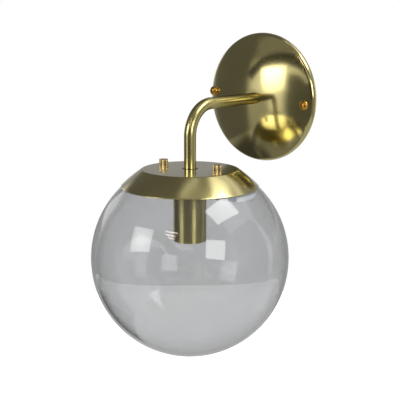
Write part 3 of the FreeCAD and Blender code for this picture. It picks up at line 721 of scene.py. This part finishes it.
def floor():
    """A pale disc that looks white, a little brighter far away than below the lamp."""
    bm = bmesh.new()
    bmesh.ops.create_circle(bm, cap_ends=True, segments=96, radius=FLOOR_R,
                            matrix=Matrix.Translation((0, 0, FLOOR_Z)))
    sheet = new_object("floor", bm)
    pale, tree = bare_paint("Pale floor")
    away = vectors(tree, "LENGTH", put(tree, "TexCoord").outputs["Object"])
    near = stretched(tree, away, 1.0, 1.12, 1.1, 2.4)
    glow = sums(tree, "MULTIPLY", near, seen_rays(tree))
    own = put(tree, "BsdfDiffuse", {"Color": FLOOR_GREY}).outputs[0]
    light = put(tree, "Emission", {"Strength": glow}).outputs[0]
    both = put(tree, "AddShader", {0: own, 1: light}).outputs[0]
    put(tree, "OutputMaterial", {"Surface": both})
    sheet.data.materials.append(pale)


floor()


def stand_card(name, bm, place, way, tone, soft=None):
    """Stand a flat sheet, made at the origin, where it belongs: only mirrored rays meet it."""
    stand = Matrix.Translation(place) @ way.to_track_quat("Z", "Y").to_matrix().to_4x4()
    bmesh.ops.transform(bm, matrix=stand, verts=bm.verts)
    sheet = new_object(name, bm)
    paint, tree = bare_paint(name)
    met = sums(tree, "MINIMUM", put(tree, "LightPath").outputs["Glossy Depth"], 1.0)
    if soft:
        across = put(tree, "SeparateXYZ", {"Vector": put(tree, "TexCoord").outputs["UV"]}).outputs
        for side, width in zip(("X", "Y"), soft):
            inward = sums(tree, "MINIMUM", across[side], sums(tree, "SUBTRACT", 1.0, across[side]))
            met = sums(tree, "MULTIPLY", met, stretched(tree, inward, 0.0, 1.0, 0.0, width))
    glow = put(tree, "Emission", {"Color": (*tone, 1)}).outputs[0]
    clear = put(tree, "BsdfTransparent").outputs[0]
    either = put(tree, "MixShader", {0: met, 1: clear, 2: glow}).outputs[0]
    put(tree, "OutputMaterial", {"Surface": either})
    sheet.data.materials.append(paint)
    sheet.visible_camera = False
    sheet.visible_diffuse = False
    sheet.visible_shadow = False


def card(name, azimuths, elevations, tone, distance=1.9, fade=6.0, tint=(1, 1, 1)):
    """A card that spans these angles from the lamp; its edges fade over some degrees."""
    way = direction(sum(azimuths) / 2, sum(elevations) / 2)
    spans = [high - low for low, high in (azimuths, elevations)]
    size = [2 * distance * math.tan(math.radians(span / 2)) for span in spans]
    bm = bmesh.new()
    bm.loops.layers.uv.verify()
    bmesh.ops.create_grid(bm, x_segments=1, y_segments=1, size=0.5, calc_uvs=True)
    bmesh.ops.scale(bm, vec=(*size, 1), verts=bm.verts)
    stand_card(name, bm, CARD_CENTRE + way * distance, way, [tone * part for part in tint],
               [fade / span for span in spans])


def crescent_card(name, azimuth, elevation, inner, outer, shift, first, last, tone):
    """An arch from the first to the last angle, between two circles: shift moves the outer."""
    way = direction(azimuth, elevation)
    reach = ARCH_DISTANCE * math.pi / 180
    bm = bmesh.new()
    rows = []
    for radius, (right, up) in ((inner, (0, 0)), (outer, shift)):
        tip = bm.verts.new((radius * reach, 0, 0))
        bmesh.ops.rotate(bm, cent=(0, 0, 0), verts=[tip],
                         matrix=Matrix.Rotation(math.radians(first), 3, "Z"))
        bmesh.ops.spin(bm, geom=[tip], cent=(0, 0, 0), axis=(0, 0, 1),
                       angle=math.radians(last - first), steps=40)
        edges = [edge for edge in bm.edges if edge not in sum(rows, [])]
        ends = list({vert for edge in edges for vert in edge.verts})
        bmesh.ops.translate(bm, verts=ends, vec=(right * reach, up * reach, 0))
        rows.append(edges)
    bmesh.ops.bridge_loops(bm, edges=sum(rows, []))
    bmesh.ops.scale(bm, vec=(ARCH_WIDE, 1, 1), verts=bm.verts)
    stand_card(name, bm, CARD_CENTRE + way * ARCH_DISTANCE, way, (tone, tone, tone))


# Each card: its azimuths and elevations in degrees, its brightness, then metres from the centre.
CARD_CENTRE = Vector((0, -0.12, -0.06))
ARCH_DISTANCE, ARCH_WIDE = 1.45, 1.35
card("left card", (-96, -38), (-52, 40), 0.125, fade=9)
card("upper left card", (-128, -54), (14, 80), 0.13, 1.85, fade=9)
crescent_card("dark arch", -10, 2, 26, 36, (3, 2), -12, 160, 0.02)
crescent_card("bright arch", -10, 2, 22, 24.6, (0, 0), 30, 78, 1.0)
card("column card", (-24, -7), (-16, 12), 1.2, 1.7, fade=5)
card("front card", (-9, 50), (-36, 22), 0.11)
card("front low card", (-50, -4), (-44, 4), 0.42, 1.95, fade=10)
card("front high card", (-50, 62), (28, 78), 0.26, 1.95)
card("right front card", (44, 94), (-42, 60), 0.24)
card("right card", (90, 142), (-48, 34), 0.34)
card("high right card", (85, 185), (64, 84), 0.25)
card("high rear card", (126, 160), (48, 71), 1.6, 1.6, fade=5)
card("rear low card", (148, 268), (-44, 3), 0.40, 1.95)
card("rear high card", (148, 250), (-2, 46), 0.32)
card("dark table card", (-106, -52), (-69, -24), 0.06, 1.15, fade=9)
card("table card", (-70, 70), (-160, -20), 0.54, 0.95)
card("ceiling left card", (-132, -48), (60, 90), 0.14)
card("ceiling right card", (48, 132), (60, 90), 0.40)
STRIP_AT = 15.4
for row, (low, wide) in enumerate(((37.0, 14.0), (33.6, 12.0), (30.6, 10.0)), 1):
    card("warm strip card %d" % row, (STRIP_AT - wide / 2, STRIP_AT + wide / 2),
         (low, low + wide / 8), 8.0, 1.8, fade=0.2, tint=(1.0, 0.84, 0.70))


def soft_lamp(name, azimuth, elevation, width, height, roll, glow, distance, seen_at, beam=180):
    """A soft box: where, how wide and how bright it looks from the point of the glass it faces."""
    lamp = bpy.data.lights.new(name, "AREA")
    lamp.shape = "RECTANGLE"
    lamp.size = 2 * distance * math.tan(math.radians(width / 2))
    lamp.size_y = 2 * distance * math.tan(math.radians(height / 2))
    lamp.energy = glow * math.pi * lamp.size * lamp.size_y
    if beam < 180:
        lamp.spread = math.radians(beam)
        lamp.energy *= 1 - lamp.spread / 2 / math.tan(lamp.spread / 2)
    stand = bpy.data.objects.new(name, lamp)
    bpy.context.scene.collection.objects.link(stand)
    way = direction(azimuth, elevation)
    stand.location = Vector(seen_at) + way * distance
    facing = Quaternion(way, math.radians(roll)) @ way.to_track_quat("Z", "Y")
    stand.rotation_euler = facing.to_euler()
    stand.visible_camera = False


soft_lamp("key lamp", -22.5, 24, 27, 26, 14, 5.6, 0.62, (0.015, -0.20, -0.117), 56)
soft_lamp("right lamp", 72, 20.7, 23.3, 22, -12.5, 4.6, 1.0, (0.077, -0.174, -0.123))
soft_lamp("high lamp", 112, 56.5, 34, 21, -9, 4.4, 1.0, (0.068, -0.155, -0.092))


CAMERA_PLACE = (0.62537, -0.84087, 0.09845)
CAMERA_YAW, CAMERA_PITCH, CAMERA_ROLL = -0.70423, 0.19988, 0.00267
LENS, SENSOR = 87.19, 36.0


def camera():
    level, steep = math.cos(CAMERA_PITCH), math.sin(CAMERA_PITCH)
    ahead = Vector((math.sin(CAMERA_YAW) * level, math.cos(CAMERA_YAW) * level, -steep))
    right = Vector((math.cos(CAMERA_YAW), -math.sin(CAMERA_YAW), 0))
    up = right.cross(ahead)
    across = math.cos(CAMERA_ROLL) * right + math.sin(CAMERA_ROLL) * up
    above = -math.sin(CAMERA_ROLL) * right + math.cos(CAMERA_ROLL) * up
    lens = bpy.data.cameras.new("camera")
    lens.lens = LENS
    lens.sensor_width = SENSOR
    stand = bpy.data.objects.new("camera", lens)
    bpy.context.scene.collection.objects.link(stand)
    facing = Matrix((across, above, -ahead)).transposed().to_4x4()
    stand.matrix_world = Matrix.Translation(CAMERA_PLACE) @ facing
    bpy.context.scene.camera = stand


camera()

WORLD_FILL = 0.30


def surroundings():
    """White wherever the camera sees it, and dimmer as a light on the part."""
    world = bpy.data.worlds.new("studio")
    bpy.context.scene.world = world
    world.use_nodes = True
    tree = world.node_tree
    tree.nodes.clear()
    strength = stretched(tree, seen_rays(tree), WORLD_FILL, 1.0)
    sky = put(tree, "Background", {"Color": (1, 1, 1, 1), "Strength": strength}).outputs[0]
    put(tree, "OutputWorld", {"Surface": sky})


surroundings()
bpy.context.scene.view_settings.view_transform = "Standard"
